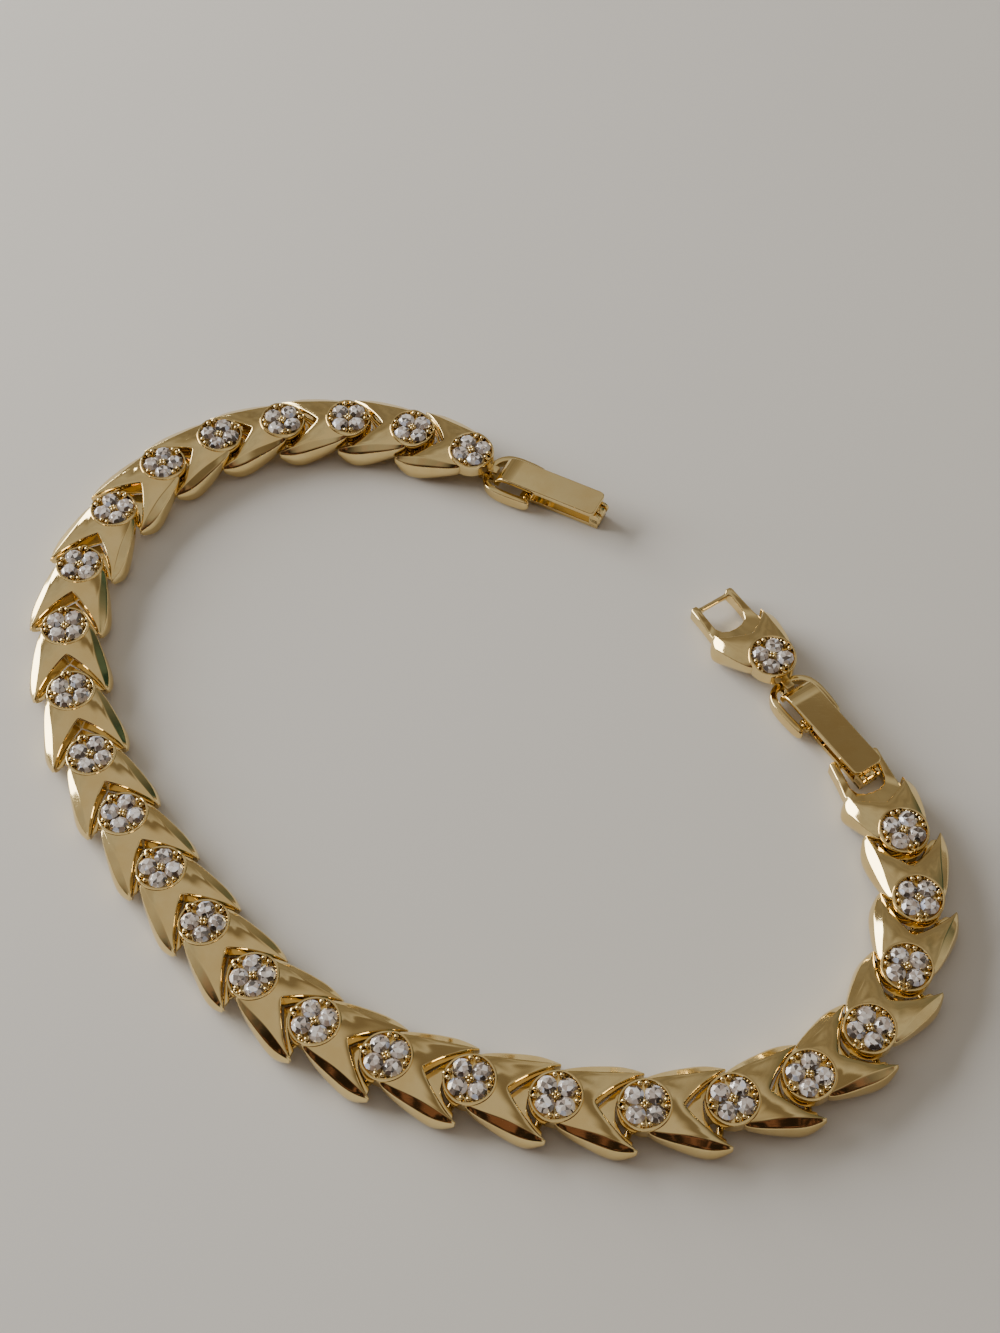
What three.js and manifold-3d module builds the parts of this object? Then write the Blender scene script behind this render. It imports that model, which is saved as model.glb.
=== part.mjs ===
// A bracelet of arrow shaped scale links with stone set heads, lying open on a table.
// Millimetres, +Z up. The table is z = 0 and the origin is the middle of the bracelet's footprint.
// Links are counted from the free clasp. Every link is drawn in its own frame, with the
// centre of its round head over the origin, its nose towards +X and its wings swept back to -X.

import * as THREE from 'three';
import { mergeVertices } from 'three/addons/utils/BufferGeometryUtils.js';
import Module from 'manifold-3d';

const wasm = await Module();
wasm.setup();

// Chain: the joints from link 1 on, in stretches of equal turn. Each link is turned counter-clockwise
// from the one before it, seen from above. Play is how far a hinge is pulled out or pushed together.
const LINK_COUNT = 26;
const PITCH = 6.25;
const FIRST_HEADING = -27.5;
const STRETCHES = [
  { joints: 3, turn: 14.5, play: -0.25 },
  { joints: 2, turn: 17.5, play: -0.4 },
  { joints: 3, turn: 16, play: 0.3 },
  { joints: 2, turn: 10, play: 0.4 },
  { joints: 1, turn: 6, play: 0.1 },
  { joints: 2, turn: 3, play: -0.25 },
  { joints: 3, turn: 10.5, play: -0.15 },
  { joints: 2, turn: 5, play: 0.2 },
  { joints: 1, turn: 9, play: 0.25 },
  { joints: 1, turn: 15, play: 0.25 },
  { joints: 5, turn: 19, play: -0.2 },
];
const LOOP_TURN = 12;

// Link: heights over the table
const CREST = 3.2;
const HEAD_TOP = 3.1;
const HEAD_UNDERSIDE = 1.6;
const RECESS_FLOOR = 2.95;
const HOLLOW_ROOF = 1.4;
const BELOW = -1;
const ABOVE = 4;
const BEHIND = -9;
const AHEAD = 3;

// Link: plan
const HEAD_RADIUS = 2.05;
const RECESS_RADIUS = 1.78;
const HEAD_SIDES = 12;
const NOTCH_APEX = -2.7;
const NOTCH_KNEE = { x: -4.9, y: 2.3 };
const WING_TIP = { x: -6.3, y: 3.02 };
const WING_CORNER = { x: -5.95, y: 3.5 };
const WING_WIDEST = { x: -5.1, y: 3.66 };
const WING_ROOT = { x: 0.3, y: 1.85 };
const FLANK = { frontX: -1.5, frontY: 2.15, rearX: -3.4, rearY: 3.41 };
const HALF_SPAN = 4.2;
const ROOF_LINE = [[3, 3.15], [-1.7, 3.15], [-2.9, 2.8], [-4.6, 2.3], [-6.5, 1.75]];
const HOLLOW = { frontX: -0.5, frontY: 1.35, sideX: -2.9, sideY: 2.6, rearX: -4.9, rearY: 2.85, notchX: -1.85 };
const ARCH_RADIUS = 5.6;
const RIDGE = { frontX: 0.6, frontY: 2.05, frontZ: 2.8, rearX: -6.1, rearY: 2.95, rearZ: 1.75 };
const FACET_SLOPE = 50;
const TIP_FACET = { inset: 0.25, back: -0.75, side: 0.4, up: 0.7 };
const UNDERCUT_X = -0.5;
const HEEL_X = -4.9;

// Stones
const STONE_RADIUS = 0.7;
const TABLE_RADIUS = 0.42;
const STONE_OFFSET = 0.74;
const GIRDLE_Z = 2.88;
const TABLE_Z = 3.28;

// Hinge between two links: a bowed bar behind the notch, held in an eye under the next head
const HINGE_FRONT = 0.65;
const HINGE_REAR = PITCH - HINGE_FRONT;
const HINGE_Z = 0.9;
const BAR_RADIUS = 0.3;
const BAR_ROOT = { x: -5.15, y: 2.6 };
const EYE_WIDTH = 0.8;
const EYE_WALL = 0.35;
const EYE_FLOOR = 0.3;
const EYE_ROOT = 0.15;
const EYE = { rear: -0.35, front: 1.6, roof: HEAD_UNDERSIDE + EYE_ROOT };
const CLASP_EYE = { rear: 1.2, front: 2.4, roof: HEAD_UNDERSIDE + 2 * EYE_ROOT };

// Rectangular loop at the tail of link 26 and of the extender link
const LOOP_HALF_WIDTH = 2.2;
const LOOP_OPENING = { near: -4.8, far: -7.8, halfWidth: 1.55, curve: 0.9 };
const LOOP_END = -8.4;
const LOOP_BOTTOM = 0.3;
const LOOP_TOP = 1.6;
const LEDGE_TOP = 1.3;
const CROSSBAR = { bottom: 0.85, top: 1.45 };
const SHORT_WING_X = -5;

// Fold-over clasp, measured from the centre of the head that carries it
const SHACKLE = { near: 1.5, far: 6.75, halfWidth: 2.3, wall: 0.65, bottom: 0.3, top: 1.5 };
const SHACKLE_NOSE = { halfWidth: 1, innerHalfWidth: 0.7, bottom: 0.6, top: 1.2, shoulderX: 3.7 };
const BASE_PIN = { x: 6.1, z: 0.9, radius: 0.25, barrel: 0.6, bore: 0.38, halfWidth: 1.3 };
const BASE_STRIP = { bottom: 0.1, top: 0.55, halfWidth: 0.92, end: 13.1 };
const LEVER_PIN = { x: 12.8, z: 1.25, radius: 0.2, barrel: 0.5, bore: 0.3, ear: 0.55 };
const LEVER_BARREL_HALF_WIDTH = 0.4;
const EAR_INNER_Y = 0.58;
const LEVER = { nose: 3.45, noseZ: 1.15, bendX: 5, tail: 12.8, top: 2.5, thickness: 0.5, halfWidth: 1.38 };
const TAIL_CORNER = 0.6;
const LEVER_WEB = { rear: 12.4, front: 12.8 };
const TONGUE = { rear: 7.9, front: 8.2, tipRear: 7.6, tipFront: 7.85, tipZ: 1.3, width: 1.2 };
const OVERLAP = 0.1;
const CROSSBAR_TO_LEVER_PIN = 1.8;

const GOLD = { color: 0xd8b468, roughness: 0.18, metalness: 1 };
const CURVE_SEGMENTS = 4;
const ROUND_SIDES = 10;

const radians = THREE.MathUtils.degToRad;

function solid(geometry) {
  const bare = geometry.clone();
  bare.deleteAttribute('normal');
  bare.deleteAttribute('uv');
  const merged = mergeVertices(bare, 1e-4);
  return new wasm.Manifold(new wasm.Mesh({
    numProp: 3,
    vertProperties: Float32Array.from(merged.getAttribute('position').array),
    triVerts: Uint32Array.from(merged.getIndex().array),
  }));
}

function toGeometry(manifold) {
  const mesh = manifold.getMesh();
  const geometry = new THREE.BufferGeometry();
  geometry.setAttribute('position', new THREE.BufferAttribute(mesh.vertProperties, 3));
  geometry.setIndex(new THREE.BufferAttribute(mesh.triVerts, 1));
  geometry.computeVertexNormals();
  return geometry;
}

function join(...solids) {
  return solids.reduce((whole, piece) => whole.add(piece));
}

// A plan outline, raised from one height to another
function raise(shape, bottom, top, curveSegments = CURVE_SEGMENTS) {
  const geometry = new THREE.ExtrudeGeometry(shape, {
    depth: top - bottom,
    bevelEnabled: false,
    curveSegments,
  });
  geometry.translate(0, 0, bottom);
  return solid(geometry);
}

// A side view in X and Z, made as wide as asked across Y
function widen(shape, width, centreY = 0, curveSegments = CURVE_SEGMENTS) {
  const geometry = new THREE.ExtrudeGeometry(shape, { depth: width, bevelEnabled: false, curveSegments });
  geometry.rotateX(Math.PI / 2);
  geometry.translate(0, centreY + width / 2, 0);
  return solid(geometry);
}

function box(x0, x1, halfWidth, z0, z1, centreY = 0) {
  const geometry = new THREE.BoxGeometry(x1 - x0, 2 * halfWidth, z1 - z0);
  geometry.translate((x0 + x1) / 2, centreY, (z0 + z1) / 2);
  return solid(geometry);
}

// A round pin or barrel lying across the link
function crossRod(x, z, radius, halfWidth, centreY = 0) {
  const geometry = new THREE.CylinderGeometry(radius, radius, 2 * halfWidth, ROUND_SIDES);
  geometry.translate(x, centreY, z);
  return solid(geometry);
}

function uprightDisc(radius, bottom, top, sides, topRadius = radius, x = 0, y = 0) {
  const geometry = new THREE.CylinderGeometry(topRadius, radius, top - bottom, sides);
  geometry.rotateX(Math.PI / 2);
  geometry.rotateZ(Math.PI / sides);
  geometry.translate(x, y, (bottom + top) / 2);
  return solid(geometry);
}

// All the space on the outer side of a plane
function beyond(point, normal) {
  const reach = 30;
  const geometry = new THREE.BoxGeometry(reach, reach, reach);
  geometry.translate(0, 0, reach / 2);
  const up = new THREE.Vector3(0, 0, 1);
  geometry.applyQuaternion(new THREE.Quaternion().setFromUnitVectors(up, normal.clone().normalize()));
  geometry.translate(point.x, point.y, point.z);
  return solid(geometry);
}

function polygon(points) {
  return new THREE.Shape(points.map(([x, y]) => new THREE.Vector2(x, y)));
}

// Plan of the two wings, from inside the head round both tips and into the notch
function wingPlan() {
  const { frontX, frontY, rearX, rearY } = FLANK;
  const shape = new THREE.Shape();
  shape.moveTo(WING_ROOT.x, -WING_ROOT.y);
  shape.lineTo(WING_ROOT.x, WING_ROOT.y);
  shape.bezierCurveTo(frontX, frontY, rearX, rearY, WING_WIDEST.x, WING_WIDEST.y);
  shape.lineTo(WING_CORNER.x, WING_CORNER.y);
  shape.lineTo(WING_TIP.x, WING_TIP.y);
  shape.lineTo(NOTCH_KNEE.x, NOTCH_KNEE.y);
  shape.lineTo(NOTCH_APEX, 0);
  shape.lineTo(NOTCH_KNEE.x, -NOTCH_KNEE.y);
  shape.lineTo(WING_TIP.x, -WING_TIP.y);
  shape.lineTo(WING_CORNER.x, -WING_CORNER.y);
  shape.lineTo(WING_WIDEST.x, -WING_WIDEST.y);
  shape.bezierCurveTo(rearX, -rearY, frontX, -frontY, WING_ROOT.x, -WING_ROOT.y);
  return shape;
}

// The arched roof seen along the link, as a long prism
function archRoof() {
  const length = 12;
  const angle = Math.asin(HALF_SPAN / ARCH_RADIUS);
  const shape = new THREE.Shape();
  shape.moveTo(HALF_SPAN, BELOW);
  shape.absarc(0, CREST - ARCH_RADIUS, ARCH_RADIUS, Math.PI / 2 - angle, Math.PI / 2 + angle, false);
  shape.lineTo(-HALF_SPAN, BELOW);
  const geometry = new THREE.ExtrudeGeometry(shape, { depth: length, bevelEnabled: false, curveSegments: 3 });
  const along = new THREE.Matrix4().makeBasis(
    new THREE.Vector3(0, 1, 0), new THREE.Vector3(0, 0, 1), new THREE.Vector3(1, 0, 0),
  );
  geometry.applyMatrix4(along);
  geometry.translate(BEHIND, 0, 0);
  return solid(geometry);
}

// The roof line seen from the side: level over the head, falling to the notch and the wing tips
function sideRoof() {
  const frontX = ROOF_LINE[0][0];
  const rearX = ROOF_LINE.at(-1)[0];
  return widen(polygon([[rearX, BELOW], [frontX, BELOW], ...ROOF_LINE]), 2 * HALF_SPAN);
}

// The polished side facet and the rounded tip of one wing
function facetCuts(side) {
  const front = new THREE.Vector3(RIDGE.frontX, side * RIDGE.frontY, RIDGE.frontZ);
  const rear = new THREE.Vector3(RIDGE.rearX, side * RIDGE.rearY, RIDGE.rearZ);
  const along = rear.clone().sub(front).normalize();
  const outward = new THREE.Vector3(along.y, -along.x, 0).normalize().multiplyScalar(side);
  const normal = outward.multiplyScalar(Math.sin(radians(FACET_SLOPE)));
  normal.z = Math.cos(radians(FACET_SLOPE));
  const tipNormal = new THREE.Vector3(TIP_FACET.back, side * TIP_FACET.side, TIP_FACET.up);
  const tipPoint = rear.clone().add(new THREE.Vector3(TIP_FACET.inset, 0, 0));
  return join(beyond(rear, normal), beyond(tipPoint, tipNormal));
}

// The wings stand on their tips only: below a slope from the head to the heels there is nothing
function undercut() {
  return widen(polygon([
    [HEEL_X, BELOW], [AHEAD, BELOW], [AHEAD, HEAD_UNDERSIDE], [UNDERCUT_X, HEAD_UNDERSIDE], [HEEL_X, 0],
  ]), 2 * HALF_SPAN);
}

// The space inside the shell, open below
function hollow() {
  const { frontX, frontY, sideX, sideY, rearX, rearY, notchX } = HOLLOW;
  return raise(polygon([
    [frontX, -frontY], [frontX, frontY], [sideX, sideY], [rearX, rearY], [notchX, 0], [rearX, -rearY],
    [sideX, -sideY],
  ]), BELOW, HOLLOW_ROOF);
}

function shell() {
  let body = raise(wingPlan(), 0, ABOVE).intersect(archRoof()).intersect(sideRoof());
  body = body.subtract(facetCuts(1)).subtract(facetCuts(-1));
  body = body.subtract(undercut()).subtract(hollow());
  const head = uprightDisc(HEAD_RADIUS, HEAD_UNDERSIDE, HEAD_TOP, HEAD_SIDES);
  const recess = uprightDisc(RECESS_RADIUS, RECESS_FLOOR, ABOVE, HEAD_SIDES);
  return body.add(head).subtract(recess);
}

// Four cut stones in a square, each with a table and eight crown facets
function stones() {
  const places = [[1, 1], [1, -1], [-1, 1], [-1, -1]];
  return join(...places.map(([x, y]) => uprightDisc(
    STONE_RADIUS, GIRDLE_Z, TABLE_Z, 8, TABLE_RADIUS, x * STONE_OFFSET, y * STONE_OFFSET,
  )));
}

// The eye under a head. A clasp's eye reaches past the nose and has a roof of its own.
function eye({ rear, front, roof }) {
  const outer = polygon([
    [rear - EYE_WALL, 0], [front + EYE_WALL, 0], [front + EYE_WALL, roof], [rear - EYE_WALL, roof],
  ]);
  outer.holes.push(polygon([
    [rear, EYE_FLOOR], [rear, HEAD_UNDERSIDE], [front, HEAD_UNDERSIDE], [front, EYE_FLOOR],
  ]));
  return widen(outer, EYE_WIDTH);
}

function tailBar() {
  const middle = -HINGE_REAR;
  const path = new THREE.CatmullRomCurve3([
    new THREE.Vector3(BAR_ROOT.x, -BAR_ROOT.y, HINGE_Z),
    new THREE.Vector3(middle, -BAR_ROOT.y / 3, HINGE_Z),
    new THREE.Vector3(middle, BAR_ROOT.y / 3, HINGE_Z),
    new THREE.Vector3(BAR_ROOT.x, BAR_ROOT.y, HINGE_Z),
  ]);
  const corners = [0, 1, 2, 3, 4].map((corner) => {
    const turn = corner * 2 * Math.PI / 5;
    return [BAR_RADIUS * Math.cos(turn), BAR_RADIUS * Math.sin(turn)];
  });
  return solid(new THREE.ExtrudeGeometry(polygon(corners), { extrudePath: path, steps: 3 }));
}

// Two tall arms, a ledge that fills the notch, and a crossbar between the arms' ends
function tailLoop() {
  const frame = polygon([
    [LOOP_END, -LOOP_HALF_WIDTH], [NOTCH_APEX, -LOOP_HALF_WIDTH], [NOTCH_APEX, LOOP_HALF_WIDTH],
    [LOOP_END, LOOP_HALF_WIDTH],
  ]);
  const { near, far, halfWidth, curve } = LOOP_OPENING;
  const opening = new THREE.Path();
  opening.moveTo(far, -halfWidth);
  opening.lineTo(far, halfWidth);
  opening.lineTo(near - curve, halfWidth);
  opening.quadraticCurveTo(near, halfWidth, near, 0);
  opening.quadraticCurveTo(near, -halfWidth, near - curve, -halfWidth);
  frame.holes.push(opening);
  const overLedge = box(near - curve, 0, halfWidth, LEDGE_TOP, ABOVE);
  const overBar = box(BEHIND, far, halfWidth, CROSSBAR.top, ABOVE);
  const underBar = box(BEHIND, far, halfWidth, BELOW, CROSSBAR.bottom);
  return raise(frame, LOOP_BOTTOM, LOOP_TOP).subtract(overLedge).subtract(overBar).subtract(underBar);
}

function plainLink() {
  return join(shell(), stones(), eye(EYE), tailBar());
}

function claspEndLink() {
  return join(shell(), stones(), eye(CLASP_EYE), tailBar());
}

function loopLink(headEye) {
  const wings = shell().subtract(box(BEHIND, SHORT_WING_X, HALF_SPAN, BELOW, ABOVE));
  return join(wings, stones(), eye(headEye), tailLoop());
}

// U of the shackle in plan, its closed end in the eye of the link
function shacklePlan() {
  const { near, far, halfWidth, wall } = SHACKLE;
  const { halfWidth: noseWidth, innerHalfWidth: noseInner, shoulderX } = SHACKLE_NOSE;
  const inner = halfWidth - wall;
  const bend = near + wall;
  const shape = new THREE.Shape();
  shape.moveTo(far, -halfWidth);
  shape.lineTo(far, -inner);
  shape.lineTo(shoulderX, -inner);
  shape.quadraticCurveTo(bend, -inner, bend, -noseInner);
  shape.lineTo(bend, noseInner);
  shape.quadraticCurveTo(bend, inner, shoulderX, inner);
  shape.lineTo(far, inner);
  shape.lineTo(far, halfWidth);
  shape.lineTo(shoulderX, halfWidth);
  shape.quadraticCurveTo(near, halfWidth, near, noseWidth);
  shape.lineTo(near, -noseWidth);
  shape.quadraticCurveTo(near, -halfWidth, shoulderX, -halfWidth);
  return shape;
}

function shackle() {
  const nose = raise(shacklePlan(), SHACKLE_NOSE.bottom, SHACKLE_NOSE.top);
  const clearOfEye = CLASP_EYE.front + 2 * EYE_WALL;
  const arms = raise(shacklePlan(), SHACKLE.bottom, SHACKLE.top)
    .subtract(box(0, clearOfEye, HALF_SPAN, BELOW, ABOVE));
  const pin = crossRod(BASE_PIN.x, BASE_PIN.z, BASE_PIN.radius, SHACKLE.halfWidth - SHACKLE.wall / 2);
  return join(nose, arms, pin);
}

function claspBase() {
  const { halfWidth, bottom, top, end } = BASE_STRIP;
  const strip = box(BASE_PIN.x, end, halfWidth, bottom, top);
  const barrel = crossRod(BASE_PIN.x, BASE_PIN.z, BASE_PIN.barrel, BASE_PIN.halfWidth)
    .subtract(crossRod(BASE_PIN.x, BASE_PIN.z, BASE_PIN.bore, HALF_SPAN));
  const earHalfWidth = (halfWidth - EAR_INNER_Y) / 2;
  const ears = [1, -1].map((side) => {
    const centreY = side * (EAR_INNER_Y + earHalfWidth);
    const round = crossRod(LEVER_PIN.x, LEVER_PIN.z, LEVER_PIN.ear, earHalfWidth, centreY);
    const foot = box(LEVER_PIN.x - LEVER_PIN.ear, end, earHalfWidth, bottom, LEVER_PIN.z, centreY);
    return round.add(foot);
  });
  const pin = crossRod(LEVER_PIN.x, LEVER_PIN.z, LEVER_PIN.radius, EAR_INNER_Y + earHalfWidth);
  return join(strip, barrel, ...ears, pin);
}

// Side view of the lever: its nose bends down inside the shackle and its tail covers the pin
function leverSide() {
  const { nose, noseZ, bendX, tail, top, thickness } = LEVER;
  const under = top - thickness;
  const shape = new THREE.Shape();
  shape.moveTo(nose, noseZ);
  shape.lineTo(nose + thickness, noseZ);
  shape.quadraticCurveTo(nose + thickness, under, bendX, under);
  shape.lineTo(tail, under);
  shape.lineTo(tail, top - thickness / 3);
  shape.lineTo(tail - thickness / 2, top);
  shape.lineTo(bendX, top);
  shape.quadraticCurveTo(nose, top, nose, noseZ);
  return shape;
}

// The lever's plan: a strip with its two tail corners cut off
function leverPlan() {
  const { nose, tail, halfWidth } = LEVER;
  const start = nose - TAIL_CORNER;
  const cornerX = tail - TAIL_CORNER;
  const cornerY = halfWidth - TAIL_CORNER;
  return polygon([
    [start, -halfWidth], [cornerX, -halfWidth], [tail, -cornerY], [tail, cornerY], [cornerX, halfWidth],
    [start, halfWidth],
  ]);
}

function claspLever() {
  const { x, z, barrel, bore } = LEVER_PIN;
  const under = LEVER.top - LEVER.thickness;
  const plate = widen(leverSide(), 2 * HALF_SPAN).intersect(raise(leverPlan(), 0, ABOVE));
  const web = box(LEVER_WEB.rear, LEVER_WEB.front, LEVER_BARREL_HALF_WIDTH, z, under + OVERLAP);
  const knuckle = crossRod(x, z, barrel, LEVER_BARREL_HALF_WIDTH);
  const tongue = widen(polygon([
    [TONGUE.front, under + OVERLAP], [TONGUE.rear, under + OVERLAP],
    [TONGUE.tipRear, TONGUE.tipZ], [TONGUE.tipFront, TONGUE.tipZ],
  ]), TONGUE.width);
  const hole = crossRod(x, z, bore, HALF_SPAN);
  return join(web, knuckle).subtract(hole).add(plate).add(tongue);
}

function piece(name, geometry) {
  const mesh = new THREE.Mesh(geometry, new THREE.MeshStandardMaterial(GOLD));
  mesh.name = name;
  return mesh;
}

function place(object, spot) {
  object.position.set(spot.x, spot.y, 0);
  object.rotation.z = radians(spot.heading);
  return object;
}

// A point in the frame of a placed link
function along(spot, distance, heading = spot.heading) {
  return {
    x: spot.x + distance * Math.cos(radians(spot.heading)),
    y: spot.y + distance * Math.sin(radians(spot.heading)),
    heading,
  };
}

// Head centres and headings from link 1 to link 26. The bar of one link lies in the eye of the next.
function chainSpots() {
  const spots = [{ x: 0, y: 0, heading: FIRST_HEADING }];
  for (const { joints, turn, play } of STRETCHES) {
    for (let joint = 0; joint < joints; joint += 1) {
      const last = spots.at(-1);
      const bar = along(last, -HINGE_REAR, last.heading + turn);
      spots.push(along(bar, -HINGE_FRONT - play));
    }
  }
  return spots;
}

function linkName(number) {
  return `link_${String(number).padStart(2, '0')}`;
}

function clasp(number, spot) {
  const group = place(new THREE.Group(), spot);
  group.add(piece(`clasp_${number}_shackle`, shackleGeometry));
  group.add(piece(`clasp_${number}_base`, baseGeometry));
  group.add(piece(`clasp_${number}_lever`, leverGeometry));
  return group;
}

const shackleGeometry = toGeometry(shackle());
const baseGeometry = toGeometry(claspBase());
const leverGeometry = toGeometry(claspLever());
const plainGeometry = toGeometry(plainLink());
const firstGeometry = toGeometry(claspEndLink());
const loopGeometry = toGeometry(loopLink(EYE));
const extenderGeometry = toGeometry(loopLink(CLASP_EYE));

const group = new THREE.Group();
const spots = chainSpots();
spots.forEach((spot, index) => {
  const number = index + 1;
  let geometry = plainGeometry;
  if (number === 1) geometry = firstGeometry;
  if (number === LINK_COUNT) geometry = loopGeometry;
  group.add(place(piece(linkName(number), geometry), spot));
});
group.add(clasp(1, spots[0]));

// The crossbar of link 26 is caught in clasp 2, which hangs on the extender link
const crossbarX = (LOOP_END + LOOP_OPENING.far) / 2;
const crossbar = along(spots.at(-1), crossbarX, spots.at(-1).heading + LOOP_TURN);
const extender = along(crossbar, CROSSBAR_TO_LEVER_PIN - LEVER_PIN.x);
group.add(clasp(2, extender));
group.add(place(piece('link_extender', extenderGeometry), extender));

group.updateMatrixWorld(true);
const middle = new THREE.Box3().setFromObject(group, true).getCenter(new THREE.Vector3());
group.position.set(-middle.x, -middle.y, 0);

export default group;
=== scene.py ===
"""Looks for a bracelet of arrow shaped scale links with stone set heads, lying open on a table.

Sizes in the making functions are millimetres in a link's own frame: the centre of its round head over
the origin, its nose towards +X, its wings swept back to -X and the table at z = 0. Each finished piece
is placed along the bracelet and brought to metres in its mesh.
"""

import math
import random

import bmesh
import bpy
from mathutils import Matrix, Vector


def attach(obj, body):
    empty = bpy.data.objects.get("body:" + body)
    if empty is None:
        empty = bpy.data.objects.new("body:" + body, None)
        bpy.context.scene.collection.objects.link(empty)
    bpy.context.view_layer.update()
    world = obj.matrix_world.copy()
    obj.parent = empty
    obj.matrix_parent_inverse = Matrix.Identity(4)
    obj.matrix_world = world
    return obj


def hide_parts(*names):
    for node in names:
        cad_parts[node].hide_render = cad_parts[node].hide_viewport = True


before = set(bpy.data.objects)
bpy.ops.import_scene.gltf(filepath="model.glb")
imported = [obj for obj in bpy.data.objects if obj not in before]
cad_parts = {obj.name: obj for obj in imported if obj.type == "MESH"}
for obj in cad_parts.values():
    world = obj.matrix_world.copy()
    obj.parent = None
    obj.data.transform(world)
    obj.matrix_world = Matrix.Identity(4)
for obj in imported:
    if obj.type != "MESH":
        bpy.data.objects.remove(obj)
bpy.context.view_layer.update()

bl_info = {
    "name": "Chevron Link Bracelet",
    "version": (1, 0, 0),
    "blender": (4, 5, 0),
    "location": "3D View > Sidebar > Bracelet",
    "description": "Stone set scale links, clasps and a studio for a bracelet lying open",
    "category": "Add Mesh",
}

MM = 0.001

# Chain, as in the part: stretches of equal turn from link 1 on, with the play in each hinge
LINK_COUNT = 26
FIRST_HEAD = (-0.0961, 29.0174)
FIRST_HEADING = -27.5
HINGE_FRONT = 0.65
HINGE_REAR = 5.6
STRETCHES = (
    (3, 14.5, -0.25), (2, 17.5, -0.4), (3, 16, 0.3), (2, 10, 0.4), (1, 6, 0.1), (2, 3, -0.25),
    (3, 10.5, -0.15), (2, 5, 0.2), (1, 9, 0.25), (1, 15, 0.25), (5, 19, -0.2),
)
LOOP_TURN = 12
CROSSBAR_X = -8.1
CROSSBAR_TO_LEVER_PIN = 1.8
LEVER_PIN_X = 12.8

# Half a link's wings as cross-sections from the middle of the link to the tip of the wing
NOTCH_EDGE = ((-2.85, 0), (-3.15, 0.38), (-3.56, 0.84), (-4.04, 1.32), (-4.57, 1.79), (-5.12, 2.22),
              (-5.7, 2.62), (-6.3, 2.97))
RIDGE = ((-1.95, 0), (-1.7, 0.96), (-0.95, 1.72), (0.35, 1.9), (-1.3, 2.15), (-2.95, 2.25), (-4.65, 2.62),
         (-6.22, 3.02))
SHOULDER = ((-1.93, 0, 2.8), (-1.68, 0.94, 2.8), (-0.93, 1.69, 2.75), (0.4, 1.98, 2.7), (-1.3, 2.64, 2.43),
            (-3.0, 3.02, 2.17), (-4.7, 3.34, 1.83), (-6.26, 3.1, 1.62))
FLANK = ((-1.9, 0, 2.3), (-1.66, 0.9, 2.3), (-0.9, 1.62, 2.3), (0.4, 1.96, 2.0), (-1.35, 2.78, 1.5),
         (-3.1, 3.3, 1.15), (-4.85, 3.7, 1.0), (-6.26, 3.2, 1.35))
OUTER_FOOT = ((-1.9, 0, 1.65), (-1.66, 0.9, 1.65), (-0.9, 1.62, 1.65), (0.3, 1.8, 1.6), (-1.35, 2.5, 1.1),
              (-3.1, 3.1, 0.5), (-4.85, 3.58, 0.25), (-6.22, 3.17, 1.15))
INNER_FOOT = ((-1.97, 0, 1.65), (-1.75, 0.85, 1.62), (-1.2, 1.42, 1.55), (-0.5, 1.42, 1.5),
              (-1.75, 1.95, 1.12), (-3.2, 2.6, 0.62), (-4.7, 3.1, 0.25), (-6.2, 3.12, 1.15))
HOLLOW_SIDE = ((-2.02, 0, 2.3), (-1.85, 0.8, 2.3), (-1.5, 1.25, 2.2), (-1.3, 1.45, 2.1), (-2.3, 1.95, 1.9),
               (-3.5, 2.48, 1.5), (-4.8, 2.95, 0.9), (-6.2, 3.08, 1.2))
HOLLOW_ROOF_Z = (2.3, 2.25, 2.1, 1.9, 1.6, 1.25, 0.95, 1.25)
NOTCH_FOOT_Z = (1.3, 1.3, 1.15, 0.95, 0.65, 0.3, 0.3, 1.2)
WALL = 0.42
TIP_WALL = 0.08
NOTCH_CHAMFER = 0.1
CREST = 3.2
ARCH_RADIUS = 5.6
ROOF_LINE = ((-1.7, 3.15), (-2.9, 2.85), (-4.6, 2.35), (-6.5, 1.7))
ROOF_BLEND = 0.25
INNER_SHARE = 0.15
MIDDLE_SHARE = 0.55
EDGE_LEAN = (0.7, 0.4)

# Rails of a wing's cross-section in their order, each with its crease along the wing
RAILS = {
    "edge": 0.75, "inner": 0, "middle": 0, "ridge": 0.85, "shoulder": 0.7, "flank": 0, "outer foot": 0.8,
    "inner foot": 0.6, "hollow side": 0, "hollow rear": 0, "wall foot": 0, "foot": 0.8, "chamfer": 0.7,
}
ROOF_RAILS = ("edge", "inner", "middle", "ridge", "shoulder", "chamfer")
TIP_CREASE = 0.75
SHORT_TIP_CREASE = 0.3
APEX_CREASE = 0.9
APEX_REACH = 0.12

# Head, whose bright rim drops a little at the nose
HEAD_UNDERSIDE = 1.6
HEAD_STEPS = 40
SEAT_Z = 2.6
FRONT_DROP = 0.24
DROP_FROM = -0.3
DROP_RUN = 1.1
DROP_DEPTH = 0.5

# Stones, and the beads that hold them and run round the rear of the rim
GIRDLE_Z = 2.92
GIRDLE_HALF = 0.02
STONE_TOP = 3.28
PAVILION = 0.3
STONE_OFFSET = 0.74
# Attribute with each stone facet's painted reflection level, and the levels a table may get: from painted
# dark reflections up to painted sky blue glints
PAINTED_GLINT_ATTRIBUTE = "facet_tone"
TABLE_PAINTED_GLINTS = (0.1, 0.3, 0.42, 0.5, 0.55, 0.62, 0.7, 0.8, 0.9)
PRONG_RING = 1.6
PRONG_SPREAD = 0.26
PRONG_TOP = GIRDLE_Z + 0.18
POST_RADII = (0.3, 0.22)
CENTRE_BEAD_OFFSET = 0.19
RIM_BEADS = 22
RIM_BEAD_RING = 1.76
RIM_BEAD_RADIUS = 0.085
RIM_BEAD_START = 80
RIM_BEAD_SWEEP = 200

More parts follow.
